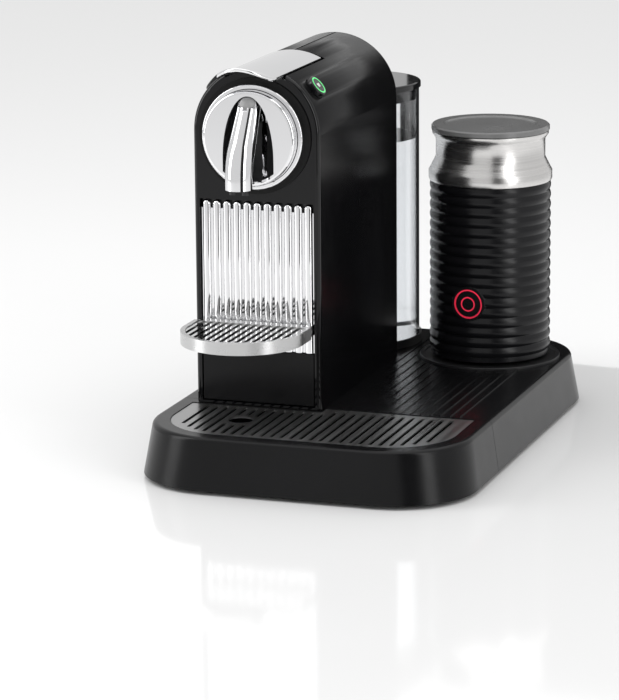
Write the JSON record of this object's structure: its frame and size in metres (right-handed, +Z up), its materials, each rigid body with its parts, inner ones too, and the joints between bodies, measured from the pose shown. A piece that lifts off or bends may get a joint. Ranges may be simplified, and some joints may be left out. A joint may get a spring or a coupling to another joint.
{
  "type": "pod coffee machine",
  "caption": "Pod coffee machine with an arched body, lift-up lever, bent spout, folding cup shelf, round water tank and a ribbed milk frother, all on one base with a drip tray.",
  "frame": {"origin": "on the table under the middle of the base", "axes": "+X to the right of someone facing the machine, +Y to its back, +Z up"},
  "size_m": [0.237, 0.372, 0.2812],
  "materials": {
    "body_shell": "gloss",
    "base_black": "satin gloss",
    "inner_black": "matte",
    "chrome": "polished",
    "steel": "brushed",
    "grid_steel": "satin",
    "cast_metal": "cast",
    "rubber": "matte",
    "clear_tank": "clear moulded",
    "coil": "varnished",
    "board": "matte",
    "tube": "matte",
    "green_light": "lit",
    "red_light": "lit",
    "sleeve_black": "satin"
  },
  "bodies": {
    "machine": {"base_plate": "inner_black", "base_screws": "cast_metal", "rubber_feet": "rubber", "rear_base": "base_black", "cord_gland": "rubber", "outer_shell_left": "body_shell", "outer_shell_right": "body_shell", "front_panel": "body_shell", "rear_panel": "body_shell", "internal_frame": "inner_black", "lever_pin": "steel", "capsule_guide": "inner_black", "brew_head": "inner_black", "head_bezel": "inner_black", "head_ring": "chrome", "head_disc": "chrome", "coffee_spout": "chrome", "spout_plug": "inner_black", "spout_nozzles": "inner_black", "spout_arch": "chrome", "pump": "coil", "thermoblock": "cast_metal", "water_tubes": "tube", "control_board": "board", "button_switches": "inner_black", "tank_seat": "inner_black", "frother_seat": "inner_black", "frother_connector": "inner_black"},
    "tray": {"drip_tray": "base_black"},
    "grid": {"drip_grid": "grid_steel"},
    "capsule_unit": {"capsule_container": "inner_black", "container_front": "base_black", "fluted_panel": "chrome"},
    "cup_shelf": {"shelf_rim": "chrome", "shelf_grille": "inner_black", "shelf_pin": "steel"},
    "lever": {"lever_plate": "chrome", "lever_arms": "cast_metal"},
    "cage": {"capsule_cage": "cast_metal", "piercing_blades": "steel"},
    "espresso_key": {"espresso_button": "chrome", "espresso_light": "green_light"},
    "lungo_key": {"lungo_button": "chrome", "lungo_light": "green_light"},
    "tank": {"water_tank": "clear_tank", "tank_valve": "inner_black"},
    "tank_cover": {"tank_lid": "inner_black"},
    "jug": {"frother_cup": "steel", "frother_sleeve": "sleeve_black", "frother_collar": "steel", "frother_base_cap": "inner_black", "frother_heater": "cast_metal", "frother_motor": "cast_metal", "frother_light": "red_light"},
    "rotor": {"frother_rotor": "inner_black"},
    "whisk": {"frother_whisk": "steel"},
    "jug_cover": {"frother_lid": "inner_black", "lid_gasket": "rubber"},
    "frother_key": {"frother_button": "sleeve_black", "frother_button_light": "red_light"}
  },
  "joints": [
    {"name": "tray_slide", "type": "slide", "parent": "machine", "child": "tray", "axis": [0, -1, 0], "range_m": [0, 0.1]},
    {"name": "grid_lift", "type": "slide", "parent": "tray", "child": "grid", "axis": [0, 0, 1], "range_m": [0, 0.03]},
    {"name": "capsule_unit_slide", "type": "slide", "parent": "machine", "child": "capsule_unit", "axis": [0, -1, 0], "range_m": [0, 0.1]},
    {"name": "cup_shelf_fold", "type": "hinge", "parent": "capsule_unit", "child": "cup_shelf", "pos_m": [-0.0528, -0.0934, 0.0959], "axis": [-1, 0, 0], "range_deg": [0, 85]},
    {"name": "lever_lift", "type": "hinge", "parent": "machine", "child": "lever", "pos_m": [-0.0528, -0.025, 0.262], "axis": [-1, 0, 0], "range_deg": [0, 88]},
    {"name": "cage_slide", "type": "slide", "parent": "machine", "child": "cage", "axis": [0, 1, 0], "range_m": [0, 0.022]},
    {"name": "espresso_press", "type": "slide", "parent": "machine", "child": "espresso_key", "axis": [-0.7716, 0, -0.6361], "range_m": [0, 0.0018], "stiffness_N_per_m": 900},
    {"name": "lungo_press", "type": "slide", "parent": "machine", "child": "lungo_key", "axis": [0.7716, 0, -0.6361], "range_m": [0, 0.0018], "stiffness_N_per_m": 900},
    {"name": "tank_lift", "type": "slide", "parent": "machine", "child": "tank", "axis": [0, 0, 1], "range_m": [0, 0.06]},
    {"name": "tank_lid_lift", "type": "slide", "parent": "tank", "child": "tank_cover", "axis": [0, 0, 1], "range_m": [0, 0.03]},
    {"name": "jug_lift", "type": "slide", "parent": "machine", "child": "jug", "axis": [0, 0, 1], "range_m": [0, 0.04]},
    {"name": "rotor_spin", "type": "hinge", "parent": "jug", "child": "rotor", "pos_m": [0.0568, 0.1113, 0.075], "axis": [0, 0, 1], "continuous": true},
    {"name": "whisk_spin", "type": "hinge", "parent": "jug", "child": "whisk", "pos_m": [0.0568, 0.1113, 0.091], "axis": [0, 0, 1], "continuous": true},
    {"name": "jug_lid_lift", "type": "slide", "parent": "jug", "child": "jug_cover", "axis": [0, 0, 1], "range_m": [0, 0.03]},
    {"name": "frother_press", "type": "slide", "parent": "jug", "child": "frother_key", "axis": [0.0872, 0.9962, 0], "range_m": [0, 0.0012], "stiffness_N_per_m": 900}
  ],
  "couplings": [
    {"joint": "cage_slide", "follows": "lever_lift", "m_per_rad": 0.01431},
    {"joint": "whisk_spin", "follows": "rotor_spin", "ratio": 1}
  ]
}
